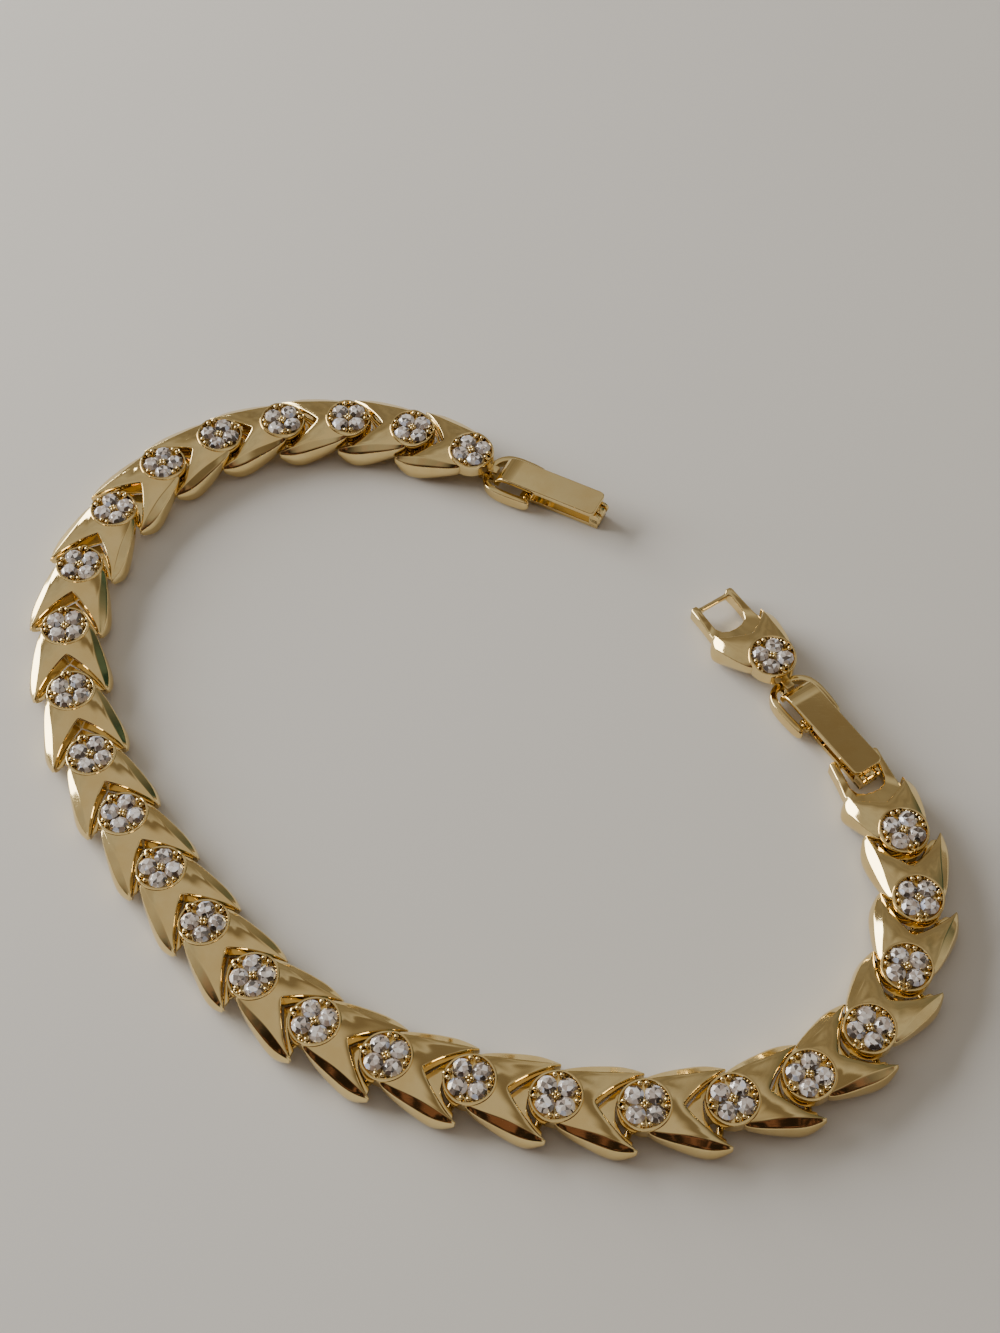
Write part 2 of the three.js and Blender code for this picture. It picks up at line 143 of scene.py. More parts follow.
# Eye under a head, behind it and in front of it, and the bar behind a notch
EYE_HALF_WIDTH = 0.4
EYE_WALL = 0.35
EYE_FLOOR = 0.3
EYE_ROOF = HEAD_UNDERSIDE + 0.05
EYE_ROOF_WALL = 0.2
PLAIN_EYE = (-0.35, 1.6)
CLASP_EYE = (1.2, 2.4)
BAR_RADIUS = 0.3
BAR_SIDES = 10
BAR_Z = 0.9
PLATE_LOW = 1.0
PLATE_TOP = 1.32
PLATE_REACH = -4.15

# Wings of the two links with a tail loop, pressed together behind the head
SHORT_FROM = -2.85
SHORT_SHARE = 0.56
SHORT_PINCH = (1, 1, 1, 1, 1, 1, 0.95, 0.84)

# Clasp, with its two pins given by x and z
BASE_PIN = (6.1, 0.9)
BASE_PIN_RADIUS = 0.25
BASE_PIN_HALF_WIDTH = 1.95
BARREL_RADIUS = 0.6
BARREL_HALF_WIDTH = 1.3
STRIP_END = 13.1
STRIP_BOTTOM = 0.1
STRIP_TOP = 0.55
STRIP_HALF_WIDTH = 0.92
LEVER_PIN = (LEVER_PIN_X, 1.25)
LEVER_PIN_RADIUS = 0.2
LEVER_PIN_HALF_WIDTH = 0.9
EAR_RADIUS = 0.55
EAR_Y = 0.75
EAR_HALF_WIDTH = 0.17
KNUCKLE_RADIUS = 0.5
KNUCKLE_HALF_WIDTH = 0.4
KNUCKLE_REAR = 12.4
KNUCKLE_TOP = 2.1
COVER_Z = 2.25
COVER_THICKNESS = 0.5
COVER_HALF_WIDTH = 1.38
COVER_CORNER = 0.5
TONGUE_HALF_WIDTH = 0.6
TONGUE_HALF_THICKNESS = 0.14

# Distances under which points become one, subdivisions of the wings, and the angle that stays sharp
MERGE = 1e-4
FINE_MERGE = 1e-5
WING_LEVELS = 3
SHARP_ANGLE = 38

# Studio, with the lamp's place in metres and the camera's film and lens in millimetres
WINDOW_PLACE = (-0.5, 0.27, 0.17)
FILM_HEIGHT = 36
FOCAL_LENGTH = 54.01


def chain_places():
    """Places and headings of the links from link 1 to link 26, then of the extender link."""
    x, y = FIRST_HEAD
    heading = FIRST_HEADING
    places = [(x, y, heading)]
    for joints, turn, play in STRETCHES:
        for _ in range(joints):
            angle = math.radians(heading)
            x -= HINGE_REAR * math.cos(angle)
            y -= HINGE_REAR * math.sin(angle)
            heading += turn
            angle = math.radians(heading)
            x -= (HINGE_FRONT + play) * math.cos(angle)
            y -= (HINGE_FRONT + play) * math.sin(angle)
            places.append((x, y, heading))
    angle = math.radians(heading)
    x += CROSSBAR_X * math.cos(angle)
    y += CROSSBAR_X * math.sin(angle)
    heading += LOOP_TURN
    angle = math.radians(heading)
    reach = CROSSBAR_TO_LEVER_PIN - LEVER_PIN_X
    places.append((x + reach * math.cos(angle), y + reach * math.sin(angle), heading))
    return places


def placement(place):
    """Matrix that brings millimetres in a link's frame to metres on the table."""
    x, y, heading = place
    turn = Matrix.Rotation(math.radians(heading), 4, "Z")
    return Matrix.Translation((x * MM, y * MM, 0)) @ turn @ Matrix.Scale(MM, 4)


def link_name(index):
    return "link_extender" if index == LINK_COUNT else f"link_{index + 1:02d}"


# Shader maths

class Value:
    """A number coming out of a node, with Python's operators adding Math nodes."""

    def __init__(self, sheet, socket):
        self.sheet = sheet
        self.socket = socket

    def _math(self, operation, first, second):
        return self.sheet.node("ShaderNodeMath", {"operation": operation}, {0: first, 1: second})

    def __add__(self, other):
        return self._math("ADD", self, other)

    def __radd__(self, other):
        return self._math("ADD", other, self)

    def __sub__(self, other):
        return self._math("SUBTRACT", self, other)

    def __rsub__(self, other):
        return self._math("SUBTRACT", other, self)

    def __mul__(self, other):
        return self._math("MULTIPLY", self, other)

    def __rmul__(self, other):
        return self._math("MULTIPLY", other, self)


class Sheet:
    """The node tree of one material or of the world."""

    def __init__(self, tree):
        self.tree = tree
        self.tree.nodes.clear()

    def node(self, kind, settings=None, inputs=None, output=0):
        """Adds a node: its settings first, then the values or links of its sockets."""
        made = self.tree.nodes.new(kind)
        for name, value in (settings or {}).items():
            if name == "stops":
                self._ramp(made.color_ramp, value)
            else:
                setattr(made, name, value)
        for name, value in (inputs or {}).items():
            socket = made.inputs[name]
            if isinstance(value, Value):
                self.tree.links.new(value.socket, socket)
            else:
                socket.default_value = value
        return Value(self, made.outputs[output]) if made.outputs else made

    @staticmethod
    def _ramp(ramp, stops):
        while len(ramp.elements) > 1:
            ramp.elements.remove(ramp.elements[-1])
        ramp.elements[0].position = stops[0][0]
        ramp.elements[0].color = stops[0][1]
        for position, colour in stops[1:]:
            ramp.elements.new(position).color = colour

    def blend(self, factor, first, second):
        settings = {"data_type": "RGBA", "blend_type": "MIX"}
        return self.node("ShaderNodeMix", settings, {0: factor, 6: first, 7: second}, output=2)

    def noise(self, scale, detail=2.0, roughness=0.5, place=None, output=0):
        inputs = {"Scale": scale, "Detail": detail, "Roughness": roughness}
        if place is not None:
            inputs["Vector"] = place
        return self.node("ShaderNodeTexNoise", {}, inputs, output)

    def object_place(self):
        return self.node("ShaderNodeTexCoord", {}, {}, output=3)

    def span(self, value, low, high, start=0.0, end=1.0):
        """A smooth step from start to end as the value goes from low to high."""
        inputs = {"Value": value, "From Min": low, "From Max": high, "To Min": start, "To Max": end}
        return self.node("ShaderNodeMapRange", {"interpolation_type": "SMOOTHSTEP"}, inputs)


def rgba(colour, factor=1.0):
    return (colour[0] * factor, colour[1] * factor, colour[2] * factor, 1.0)


def polished_gold():
    """Polished yellow gold: faint cloudiness in its colour, hairline scratches and small dents."""
    finishes = bpy.context.scene.bracelet_finishes
    material = bpy.data.materials.new("polished_gold")
    material.use_nodes = True
    sheet = Sheet(material.node_tree)
    place = sheet.object_place()
    cloud = sheet.span(sheet.noise(450.0, 3.0, 0.55, place), 0.3, 0.7)
    colour = sheet.blend(cloud, rgba(finishes.gold), rgba(finishes.gold_shade))
    fine = sheet.noise(3200.0, 4.0, 0.6, place)
    stretched = sheet.node(
        "ShaderNodeMapping", {"vector_type": "POINT"},
        {"Vector": place, "Rotation": (0.3, 0.2, 0.7), "Scale": (1.0, 14.0, 5.0)},
    )
    scratches = sheet.span(sheet.noise(900.0, 2.0, 0.5, stretched), 0.55, 0.75)
    rough = finishes.gold_roughness * (0.75 + 0.5 * cloud + 0.7 * scratches)
    height = fine * 0.35 + scratches * 0.5
    bump = sheet.node("ShaderNodeBump", {}, {"Strength": 0.12, "Distance": 4e-6, "Height": height})
    surface = sheet.node("ShaderNodeBsdfPrincipled", {}, {
        "Base Color": colour, "Metallic": 1.0, "Roughness": rough, "Normal": bump,
    })
    sheet.node("ShaderNodeOutputMaterial", {}, {"Surface": surface})
    return material


def cut_stone():
    """Clear cut stone: lavender grey facets with painted reflections, some painted dark, some painted bright
    and a few with a painted sky blue glint, and a faint painted glow.
    """
    finishes = bpy.context.scene.bracelet_finishes
    material = bpy.data.materials.new("cut_stone")
    material.use_nodes = True
    sheet = Sheet(material.node_tree)
    # The facet's painted reflection level, stirred a little by noise
    tone = sheet.node("ShaderNodeAttribute", {"attribute_name": PAINTED_GLINT_ATTRIBUTE}, {}, output=2)
    painted_glint_noise = sheet.noise(2500.0, 2.0, 0.5, sheet.object_place())
    shade = tone + (painted_glint_noise - 0.5) * 0.25
    # Ramp from painted dark reflections through the greyer stone colour to painted bright highlights and
    # painted sky blue glints
    stops = ((0.0, rgba(finishes.stone_shade, 0.05)), (0.28, rgba(finishes.stone_shade, 0.3)),
             (0.46, rgba(finishes.stone_shade, 0.9)), (0.72, rgba(finishes.stone, 0.8)),
             (0.88, rgba(finishes.stone)), (0.96, rgba(finishes.stone_glint)))
    colour = sheet.node("ShaderNodeValToRGB", {"stops": stops}, {0: shade})
    surface = sheet.node("ShaderNodeBsdfPrincipled", {}, {
        "Base Color": colour, "Roughness": 0.02, "IOR": 2.15, "Transmission Weight": 0.15,
        # Emission in the facet colour: a faint painted glow that makes the stones sparkle though they are no
        # lamp
        "Emission Color": colour, "Emission Strength": 0.08,
    })
    sheet.node("ShaderNodeOutputMaterial", {}, {"Surface": surface})
    return material


def pale_floor():
    finishes = bpy.context.scene.bracelet_finishes
    material = bpy.data.materials.new("pale_floor")
    material.use_nodes = True
    sheet = Sheet(material.node_tree)
    cloud = sheet.noise(30.0, 2.0, 0.5, sheet.object_place())
    colour = sheet.blend(cloud, rgba(finishes.floor), rgba(finishes.floor, 0.96))
    surface = sheet.node("ShaderNodeBsdfPrincipled", {}, {"Base Color": colour, "Roughness": 0.85})
    sheet.node("ShaderNodeOutputMaterial", {}, {"Surface": surface})
    return material


def finish(name):
    """The material of that name, made when it is first asked for."""
    makers = {"polished_gold": polished_gold, "cut_stone": cut_stone, "pale_floor": pale_floor}
    return bpy.data.materials.get(name) or makers[name]()


def paint_facet_glints(mesh, seed):
    """Gives each facet of the stones its own painted reflection level, from 0, a dark painted reflection, to
    1, a painted sky blue glint.
    """
    dice = random.Random(seed)
    painted_glints = mesh.attributes.new(PAINTED_GLINT_ATTRIBUTE, "FLOAT", "FACE")
    for face in mesh.polygons:
        flat = face.normal.z > 0.98
        painted_glints.data[face.index].value = dice.choice(TABLE_PAINTED_GLINTS) if flat else dice.random()


# Mesh helpers

def tidy(bm, join=MERGE):
    """Joins points that lie together and turns all faces outwards."""
    bmesh.ops.remove_doubles(bm, verts=bm.verts, dist=join)
    bmesh.ops.recalc_face_normals(bm, faces=bm.faces)


def everything(bm):
    return bm.verts[:] + bm.edges[:] + bm.faces[:]


def mirror_half(bm):
    """Adds the -Y half of a shape made on the +Y side."""
    bmesh.ops.mirror(bm, geom=everything(bm), axis="Y", merge_dist=MERGE)


def mesh_from(bm, name):
    """Writes the bmesh to a new mesh and frees it."""
    mesh = bpy.data.meshes.new(name)
    bm.to_mesh(mesh)
    bm.free()
    return mesh


def next_ring(bm, ring, places):
    """Extrudes a closed ring of vertices and moves the new ones to their places."""
    made = bmesh.ops.extrude_edge_only(bm, edges=ring_edges(bm, ring))["geom"]
    fresh = {item for item in made if isinstance(item, bmesh.types.BMVert)}
    following = []
    for vertex, place in zip(ring, places):
        partner = next(e.other_vert(vertex) for e in vertex.link_edges if e.other_vert(vertex) in fresh)
        partner.co = place
        following.append(partner)
    return following


def ring_edges(bm, ring):
    return [bm.edges.get((ring[i - 1], ring[i])) for i in range(len(ring))]


def loft(bm, sections, closed=False, caps=(True, True)):
    """A skin through closed cross-sections with the same number of points. Returns its rings."""
    ring = [bm.verts.new(place) for place in sections[0]]
    for i in range(len(ring)):
        bm.edges.new((ring[i - 1], ring[i]))
    rings = [ring]
    for places in sections[1:]:
        rings.append(next_ring(bm, rings[-1], places))
    if closed:
        ends = ring_edges(bm, rings[0]) + ring_edges(bm, rings[-1])
        bmesh.ops.bridge_loops(bm, edges=ends)
    else:
        for ring, wanted in ((rings[0], caps[0]), (rings[-1], caps[1])):
            if wanted:
                bmesh.ops.contextual_create(bm, geom=ring_edges(bm, ring))
    return rings


def crease(bm, first, second, amount):
    layer = bm.edges.layers.float.get("crease_edge") or bm.edges.layers.float.new("crease_edge")
    edge = bm.edges.get((first, second))
    if edge is not None:
        edge[layer] = amount


def refined(bm, levels):
    """The bmesh after a Subdivision Surface modifier of that many levels, as a new bmesh."""
    mesh = mesh_from(bm, "cage")
    cage = bpy.data.objects.new("cage", mesh)
    bpy.context.scene.collection.objects.link(cage)
    modifier = cage.modifiers.new("smooth", "SUBSURF")
    modifier.levels = levels
    modifier.render_levels = levels
    graph = bpy.context.evaluated_depsgraph_get()
    smooth = bpy.data.meshes.new_from_object(cage.evaluated_get(graph))
    bpy.data.objects.remove(cage)
    bpy.data.meshes.remove(mesh)
    result = bmesh.new()
    result.from_mesh(smooth)
    bpy.data.meshes.remove(smooth)
    return result


def absorb(bm, other):
    """Adds the other bmesh to the first one."""
    mesh = mesh_from(other, "part")
    bm.from_mesh(mesh)
    bpy.data.meshes.remove(mesh)


def bevel(bm, edges, width, segments):
    bmesh.ops.bevel(bm, geom=edges, offset=width, offset_type="OFFSET", segments=segments, profile=0.5,
                    affect="EDGES", clamp_overlap=True, material=-1)


def soften(bm, width, segments=2, sharper_than=30.0):
    """Bevels the edges that are sharper than an angle."""
    limit = math.radians(sharper_than)
    edges = [e for e in bm.edges if len(e.link_faces) == 2 and e.calc_face_angle() > limit]
    bevel(bm, edges, width, segments)


def bead(bm, x, y, z, radius, detail=2):
    bmesh.ops.create_icosphere(bm, subdivisions=detail, radius=radius, matrix=Matrix.Translation((x, y, z)))


def cross_rod(bm, x, z, radius, half_width, centre_y=0.0, segments=24):
    """A round rod lying across the link, along Y."""
    matrix = Matrix.Translation((x, centre_y, z)) @ Matrix.Rotation(math.pi / 2, 4, "X")
    bmesh.ops.create_cone(bm, cap_ends=True, segments=segments, radius1=radius, radius2=radius,
                          depth=2 * half_width, matrix=matrix)


def block(bm, low, high):
    """A box between its lowest and its highest corner."""
    size = [b - a for a, b in zip(low, high)]
    middle = [(a + b) / 2 for a, b in zip(low, high)]
    matrix = Matrix.Translation(middle) @ Matrix.Diagonal((*size, 1))
    bmesh.ops.create_cube(bm, size=1.0, matrix=matrix)


def add_piece(name, mesh, place, material, body, nodes):
    """Puts a finished shape on the table as one piece that stands for its nodes."""
    mesh.transform(placement(place))
    mesh.shade_smooth()
    mesh.set_sharp_from_angle(angle=math.radians(SHARP_ANGLE))
    mesh.materials.clear()
    mesh.materials.append(finish(material))
    piece = bpy.data.objects.new(name, mesh)
    bpy.context.scene.collection.objects.link(piece)
    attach(piece, body)
    if material == "polished_gold":
        normals = piece.modifiers.new("even_normals", "WEIGHTED_NORMAL")
        normals.keep_sharp = True
    if nodes:
        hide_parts(*nodes)
    return piece


# Link

def roof_z(x, y):
    """Height of the wings' polished top over a point of the plan."""
    arch = CREST - ARCH_RADIUS + math.sqrt(ARCH_RADIUS ** 2 - y * y)
    line = ROOF_LINE[0][1]
    for (x0, z0), (x1, z1) in zip(ROOF_LINE, ROOF_LINE[1:]):
        if x < x0:
            line = z0 + (z1 - z0) * (x0 - x) / (x0 - x1)
    gap = abs(arch - line)
    dip = max(ROOF_BLEND - gap, 0) ** 2 / (4 * ROOF_BLEND)
    return min(arch, line) - dip


def wing_sections():
    """Cross-sections of one wing, each with its points in the order of RAILS."""
    sections = []
    for index, (x, y) in enumerate(NOTCH_EDGE):
        edge = Vector((x, y, roof_z(x, y)))
        ridge = Vector((*RIDGE[index], roof_z(*RIDGE[index])))
        inner = edge.lerp(ridge, INNER_SHARE)
        inner.z = roof_z(inner.x, inner.y)
        middle = edge.lerp(ridge, MIDDLE_SHARE)
        middle.z = roof_z(middle.x, middle.y)
        foot = Vector((x, y, NOTCH_FOOT_Z[index]))
        wall = WALL if index < len(NOTCH_EDGE) - 1 else TIP_WALL
        inward = Vector((ridge.x - x, ridge.y - y, 0)).normalized() * wall
        wall_foot = foot + inward
        hollow_rear = Vector((wall_foot.x, wall_foot.y, HOLLOW_ROOF_Z[index]))
        chamfer = edge.copy()
        chamfer.z -= NOTCH_CHAMFER
        edge.x += NOTCH_CHAMFER * EDGE_LEAN[0]
        edge.y += NOTCH_CHAMFER * EDGE_LEAN[1] if y else 0
        sections.append([
            edge, inner, middle, ridge, Vector(SHOULDER[index]), Vector(FLANK[index]),
            Vector(OUTER_FOOT[index]), Vector(INNER_FOOT[index]), Vector(HOLLOW_SIDE[index]), hollow_rear,
            wall_foot, foot, chamfer,
        ])
    return sections


def wings(shortened):
    """The chevron shell of a link, its two wings mirrored and smoothed."""
    bm = bmesh.new()
    sections = wing_sections()
    if shortened:
        for section, pinch in zip(sections, SHORT_PINCH):
            for rail, point in zip(RAILS, section):
                before = roof_z(point.x, point.y)
                point.x += max(SHORT_FROM - point.x, 0) * (1 - SHORT_SHARE)
                if rail in ROOF_RAILS:
                    point.z += roof_z(point.x, point.y) - before
                point.y *= pinch
    rings = loft(bm, sections, caps=(False, True))
    for first, second in zip(rings, rings[1:]):
        for amount, start, end in zip(RAILS.values(), first, second):
            if amount:
                crease(bm, start, end, amount)
    last = rings[-1]
    for i in range(len(last)):
        crease(bm, last[i - 1], last[i], SHORT_TIP_CREASE if shortened else TIP_CREASE)
    layer = bm.edges.layers.float.get("crease_edge")
    mirror_half(bm)
    for edge in bm.edges:
        if all(abs(v.co.y) < FINE_MERGE for v in edge.verts):
            upright = all(v.co.x < NOTCH_EDGE[0][0] + APEX_REACH for v in edge.verts)
            edge[layer] = APEX_CREASE if upright else 0.0
    tidy(bm)
    return refined(bm, WING_LEVELS)


def head(bm):
    """The round collar with its bright rim and sunken seat, turned about the upright axis."""
    sizes = bpy.context.scene.bracelet_sizes
    radius = sizes.head_radius / MM
    rim = sizes.rim_width / MM
    top = sizes.head_top / MM
    profile = (
        (0.0, HEAD_UNDERSIDE), (radius - 0.12, HEAD_UNDERSIDE), (radius - 0.02, HEAD_UNDERSIDE + 0.12),
        (radius, top - 0.35), (radius - 0.01, top - 0.1), (radius - 0.05, top - 0.02),
        (radius - 0.12, top), (radius - rim + 0.03, top - 0.02), (radius - rim, top - 0.1),
        (radius - rim - 0.02, SEAT_Z + 0.1), (radius - rim - 0.12, SEAT_Z), (0.0, SEAT_Z),
    )
    verts = [bm.verts.new((r, 0, z)) for r, z in profile]
    edges = [bm.edges.new(pair) for pair in zip(verts, verts[1:])]
    before = set(bm.verts) - set(verts)
    bmesh.ops.spin(bm, geom=verts + edges, cent=(0, 0, 0), axis=(0, 0, 1), dvec=(0, 0, 0),
                   angle=math.tau, steps=HEAD_STEPS, use_merge=True, use_duplicate=False)
    for vertex in set(bm.verts) - before:
        front = min(max((vertex.co.x - DROP_FROM) / DROP_RUN, 0), 1)
        if vertex.co.z > top - DROP_DEPTH:
            vertex.co.z -= FRONT_DROP * front * front * (3 - 2 * front)


def prongs(bm):
    """Bead prongs in the gaps between the stones, and small beads round the rear of the rim."""
    radius = bpy.context.scene.bracelet_sizes.bead_radius / MM
    height = PRONG_TOP - SEAT_Z
    middle = (SEAT_Z + PRONG_TOP) / 2
    for quarter in range(4):
        angle = quarter * math.pi / 2
        for side in (-1, 1):
            spread = angle + side * PRONG_SPREAD / PRONG_RING
            x = PRONG_RING * math.cos(spread)
            y = PRONG_RING * math.sin(spread)
            bead(bm, x, y, PRONG_TOP, radius)
            bmesh.ops.create_cone(bm, cap_ends=False, segments=8, radius1=radius * 1.1, radius2=radius * 0.9,
                                  depth=height, matrix=Matrix.Translation((x, y, middle)))
        x = CENTRE_BEAD_OFFSET * math.cos(angle)
        y = CENTRE_BEAD_OFFSET * math.sin(angle)
        bead(bm, x, y, PRONG_TOP - 0.02, radius * 0.8)
    bmesh.ops.create_cone(bm, cap_ends=False, segments=10, radius1=POST_RADII[0], radius2=POST_RADII[1],
                          depth=height, matrix=Matrix.Translation((0, 0, middle)))
    for step in range(RIM_BEADS):
        angle = math.radians(RIM_BEAD_START + RIM_BEAD_SWEEP * step / (RIM_BEADS - 1))
        x = RIM_BEAD_RING * math.cos(angle)
        y = RIM_BEAD_RING * math.sin(angle)
        bead(bm, x, y, GIRDLE_Z, RIM_BEAD_RADIUS, detail=1)


def nose_loop(bm):
    """A small U of round wire let into the rim at the nose, open towards the stones."""
    wire = 0.1
    spread = 0.27
    middle = (1.7, 0.0, 2.98)
    start = Matrix.Translation((middle[0], spread, middle[2])) @ Matrix.Rotation(math.pi / 2, 4, "Y")
    circle = bmesh.ops.create_circle(bm, cap_ends=True, segments=8, radius=wire, matrix=start)
    faces = {f for v in circle["verts"] for f in v.link_faces}
    bmesh.ops.spin(bm, geom=list(faces), cent=middle, axis=(0, 0, 1), dvec=(0, 0, 0), angle=-math.pi,
                   steps=10, use_duplicate=False)


def hinge_eye(bm, span):
    """The square eye under a head that holds the bar of the link before it."""
    rear, front = span
    part = bmesh.new()
    top = EYE_ROOF - EYE_ROOF_WALL
    outer = ((rear - EYE_WALL, 0), (front + EYE_WALL, 0), (front + EYE_WALL, EYE_ROOF),
             (rear - EYE_WALL, EYE_ROOF))
    inner = ((rear, EYE_FLOOR), (front, EYE_FLOOR), (front, top), (rear, top))
    sections = []
    for (ox, oz), (ix, iz) in zip(outer, inner):
        sections.append([(ox, -EYE_HALF_WIDTH, oz), (ox, EYE_HALF_WIDTH, oz),
                         (ix, EYE_HALF_WIDTH, iz), (ix, -EYE_HALF_WIDTH, iz)])
    loft(part, sections, closed=True)
    tidy(part)
    soften(part, 0.08, 2, 40)
    absorb(bm, part)


def tail_bar(bm):
    """The bowed bar behind the notch."""
    path = ((-5.15, -2.6), (-5.45, -1.7), (-5.6, -0.85), (-5.6, 0.0), (-5.6, 0.85), (-5.45, 1.7),
            (-5.15, 2.6))
    sections = []
    for x, y in path:
        ring = []
        for step in range(BAR_SIDES):
            angle = step * math.tau / BAR_SIDES
            ring.append((x + BAR_RADIUS * math.cos(angle), y, BAR_Z + BAR_RADIUS * math.sin(angle)))
        sections.append(ring)
    part = bmesh.new()
    loft(part, sections)
    tidy(part)
    absorb(bm, part)


def notch_plate(bm, play):
    """The plate low in the notch, cut out for the eye of the next link as far as its hinge has play."""
    rail = PLATE_REACH - play
    outer = ((-2.95, 0), (-3.5, 0.62), (-4.1, 1.3), (-5.15, 2.2), (-5.95, 2.75))
    inner = ((rail, 0), (rail - 0.05, 0.7), (rail - 0.35, 1.15), (-5.0, 1.6), (-5.85, 2.2))
    sections = []
    for (ox, oy), (ix, iy) in zip(outer, inner):
        sections.append([(ox, oy, PLATE_LOW), (ox, oy, PLATE_TOP), (ix, iy, PLATE_TOP), (ix, iy, PLATE_LOW)])
    part = bmesh.new()
    loft(part, sections, caps=(False, True))
    mirror_half(part)
    tidy(part)
    soften(part, 0.06, 2, 50)
    absorb(bm, part)


def tail_loop(bm):
    """Two tall arms, a ledge inside the notch and a crossbar between the arms' ends."""
    outer = ((-8.2, 0), (-8.2, 1.2), (-8.25, 1.48), (-8.4, 1.64), (-8.4, 2.06), (-8.2, 2.2), (-6.6, 2.24),
             (-5.2, 2.35), (-4.0, 2.3), (-3.1, 1.4), (-2.8, 0))
    inner = ((-7.8, 0), (-7.8, 0.9), (-7.8, 1.25), (-7.76, 1.47), (-7.62, 1.54), (-7.3, 1.55), (-6.4, 1.55),
             (-5.7, 1.5), (-5.15, 1.2), (-4.87, 0.65), (-4.8, 0))
    tops = (1.4, 1.4, 1.42, 1.6, 1.6, 1.6, 1.52, 1.38, 1.7, 1.8, 1.8)
    inner_tops = (1.4, 1.4, 1.42, 1.58, 1.6, 1.6, 1.52, 1.36, 1.3, 1.3, 1.3)
    feet = (0.9, 0.9, 0.8, 0.4, 0.3, 0.3, 0.3, 0.3, 0.3, 0.3, 0.3)
    half = []
    for (ox, oy), (ix, iy), top, inner_top, foot in zip(outer, inner, tops, inner_tops, feet):
        half.append([Vector((ox, oy, foot)), Vector((ox, oy, top)), Vector((ix, iy, inner_top)),
                     Vector((ix, iy, foot))])
    part = bmesh.new()
    loft(part, half, caps=(False, False))
    mirror_half(part)
    tidy(part)
    soften(part, 0.24, 4, 50)
    absorb(bm, part)


def link_mesh(kind, play):
    """The metal of one link: plain, first, loop or extender."""
    looped = kind in ("loop", "extender")
    bm = wings(shortened=looped)
    head(bm)
    prongs(bm)
    nose_loop(bm)
    hinge_eye(bm, CLASP_EYE if kind in ("first", "extender") else PLAIN_EYE)
    if looped:
        tail_loop(bm)
    else:
        notch_plate(bm, play)
        tail_bar(bm)
    tidy(bm, FINE_MERGE)
    return mesh_from(bm, f"{kind}_link")


def stone_mesh():
    """Four cut stones: each a round disc with its table and its facets cut on both sides."""
    sizes = bpy.context.scene.bracelet_sizes
    radius = sizes.stone_radius / MM
    table = sizes.table_radius / MM
    stone = bmesh.new()
    bmesh.ops.create_cone(stone, cap_ends=True, segments=16, radius1=radius, radius2=radius, depth=2.0)
    crown = STONE_TOP - GIRDLE_Z - GIRDLE_HALF
    slope = math.atan2(crown, radius - table)
    cuts = []
    for step in range(8):
        main = step * math.tau / 8
        half = main + math.tau / 16
        cuts.append(((radius, GIRDLE_HALF), main, slope))
        cuts.append(((table + 0.045, crown - 0.03), half, slope * 0.62))
        cuts.append(((radius * 0.98, -GIRDLE_HALF), main, -math.atan2(PAVILION, radius)))
        cuts.append(((radius * 0.99, -0.05), half, -math.radians(52)))
    for (reach, height), turn, tilt in cuts:
        across = math.sin(abs(tilt))
        up = math.copysign(math.cos(tilt), tilt)
        normal = (across * math.cos(turn), across * math.sin(turn), up)
        point = (reach * math.cos(turn), reach * math.sin(turn), height)
        slice_off(stone, point, normal)
    slice_off(stone, (0, 0, crown), (0, 0, 1))
    for step in range(4):
        turn = (step + 0.35) * math.pi / 4
        across = (math.cos(turn), math.sin(turn), 0)
        bmesh.ops.bisect_plane(stone, geom=everything(stone), plane_co=(0.03 * step, 0.02, 0),
                               plane_no=across)
    mesh = mesh_from(stone, "stone")
    bm = bmesh.new()
    for x, y in ((1, 1), (-1, 1), (-1, -1), (1, -1)):
        before = len(bm.verts)
        bm.from_mesh(mesh)
        bm.verts.ensure_lookup_table()
        turned = Matrix.Translation((x * STONE_OFFSET, y * STONE_OFFSET, GIRDLE_Z))
        turned = turned @ Matrix.Rotation(0.2 * x + 0.1 * y, 4, "Z")
        bmesh.ops.transform(bm, matrix=turned, verts=bm.verts[before:])
    bpy.data.meshes.remove(mesh)
    return mesh_from(bm, "stones")


def slice_off(bm, point, normal):
    """Cuts away what lies beyond a plane and closes the cut."""
    cut = bmesh.ops.bisect_plane(bm, geom=everything(bm), plane_co=point, plane_no=normal, clear_outer=True)
    edges = [item for item in cut["geom_cut"] if isinstance(item, bmesh.types.BMEdge)]
    if edges:
        bmesh.ops.contextual_create(bm, geom=edges)


# Clasp

def shackle_bars(bm):
    """The U of the shackle, its closed end in the eye of the link that carries it."""
    half = ((1.82, 0.0, 0.3), (1.82, 0.5, 0.3), (1.92, 1.0, 0.33), (2.3, 1.55, 0.45), (2.95, 1.93, 0.58),
            (3.9, 2.06, 0.62), (5.1, 2.03, 0.62), (6.1, 1.95, 0.6), (6.5, 1.93, 0.52), (6.76, 1.92, 0.3))
    widths = (0.3, 0.3, 0.3, 0.32, 0.33, 0.33, 0.33, 0.33, 0.28, 0.14)
    sections = []
    for index, ((x, y, half_height), width) in enumerate(zip(half, widths)):
        before = Vector(half[max(index - 1, 0)])
        after = Vector(half[min(index + 1, len(half) - 1)])
        run = Vector((after.x - before.x, after.y - before.y, 0)).normalized()
        if index == 0:
            run = Vector((0, 1, 0))
        side = Vector((run.y, -run.x, 0)) * width
        centre = Vector((x, y, BASE_PIN[1]))
        up = Vector((0, 0, half_height))
        sections.append([centre + side - up, centre + side + up, centre - side + up, centre - side - up])
    part = bmesh.new()
    loft(part, sections, caps=(False, True))
    mirror_half(part)
    tidy(part)
    soften(part, 0.24, 2, 40)
    part = refined(part, 2)
    cross_rod(part, *BASE_PIN, BASE_PIN_RADIUS, BASE_PIN_HALF_WIDTH)
    absorb(bm, part)


